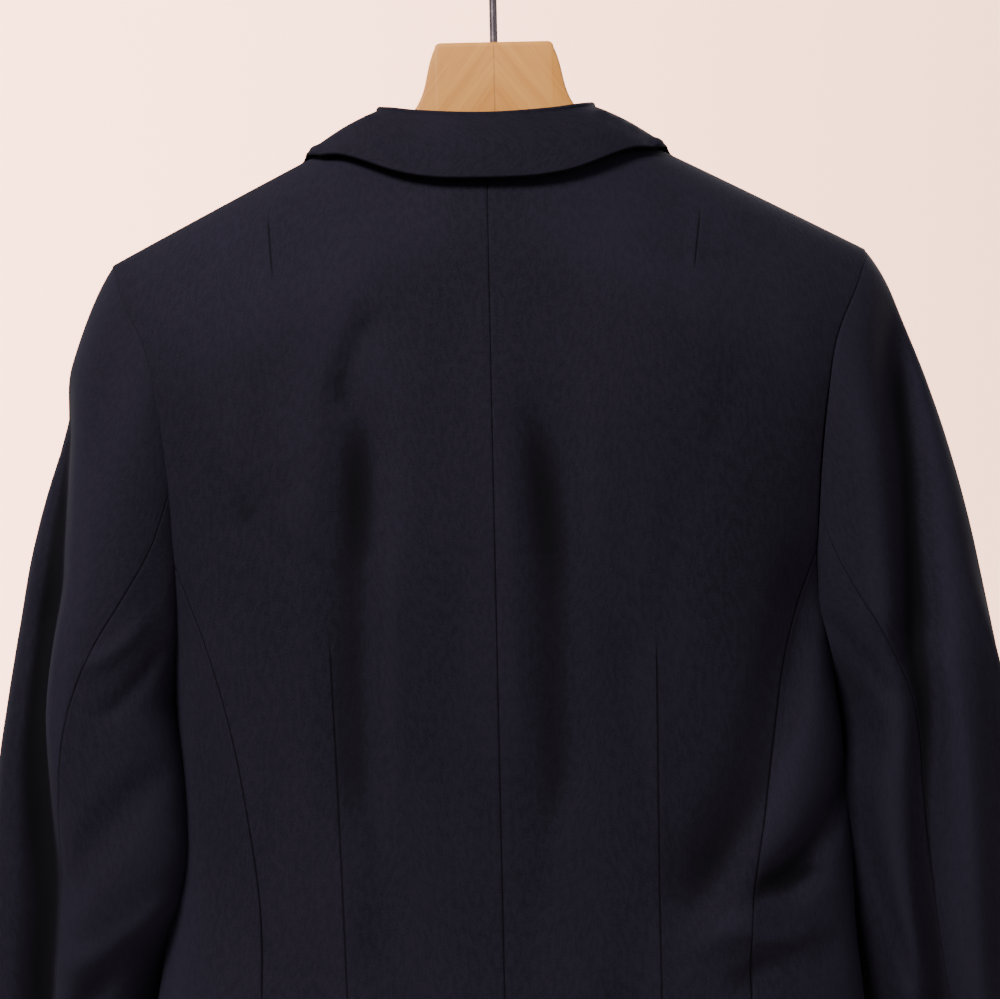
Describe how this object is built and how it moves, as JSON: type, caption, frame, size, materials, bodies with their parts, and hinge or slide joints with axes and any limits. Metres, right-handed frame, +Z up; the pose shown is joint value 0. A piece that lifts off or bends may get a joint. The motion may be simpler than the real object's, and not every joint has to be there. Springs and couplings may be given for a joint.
{
  "type": "blazer on hanger",
  "caption": "Fitted wool blazer hanging on a wooden hanger with a wire hook, in cut and sewn panels with notched lapels and shaped sleeves",
  "frame": {"origin": "the point inside the top of the hook where a rail holds it", "axes": "+Z up, the blazer's front towards -Y and its back towards +Y, the wearer's left towards +X"},
  "size_m": [0.576, 0.1735, 0.7843],
  "materials": {
    "cloth": "fine navy wool twill with a soft nap",
    "button": "dark polished",
    "wood": "pale, clear satin lacquer",
    "steel": "plated wire"
  },
  "bodies": {
    "root": {"back_left": "cloth", "back_right": "cloth", "side_left": "cloth", "side_right": "cloth", "front_left": "cloth", "front_right": "cloth", "lapel_left": "cloth", "lapel_right": "cloth", "collar": "cloth", "sleeve_top_left": "cloth", "sleeve_top_right": "cloth", "sleeve_under_left": "cloth", "sleeve_under_right": "cloth", "button": "button", "hanger": "wood", "hanger_hook": "steel"}
  },
  "joints": []
}
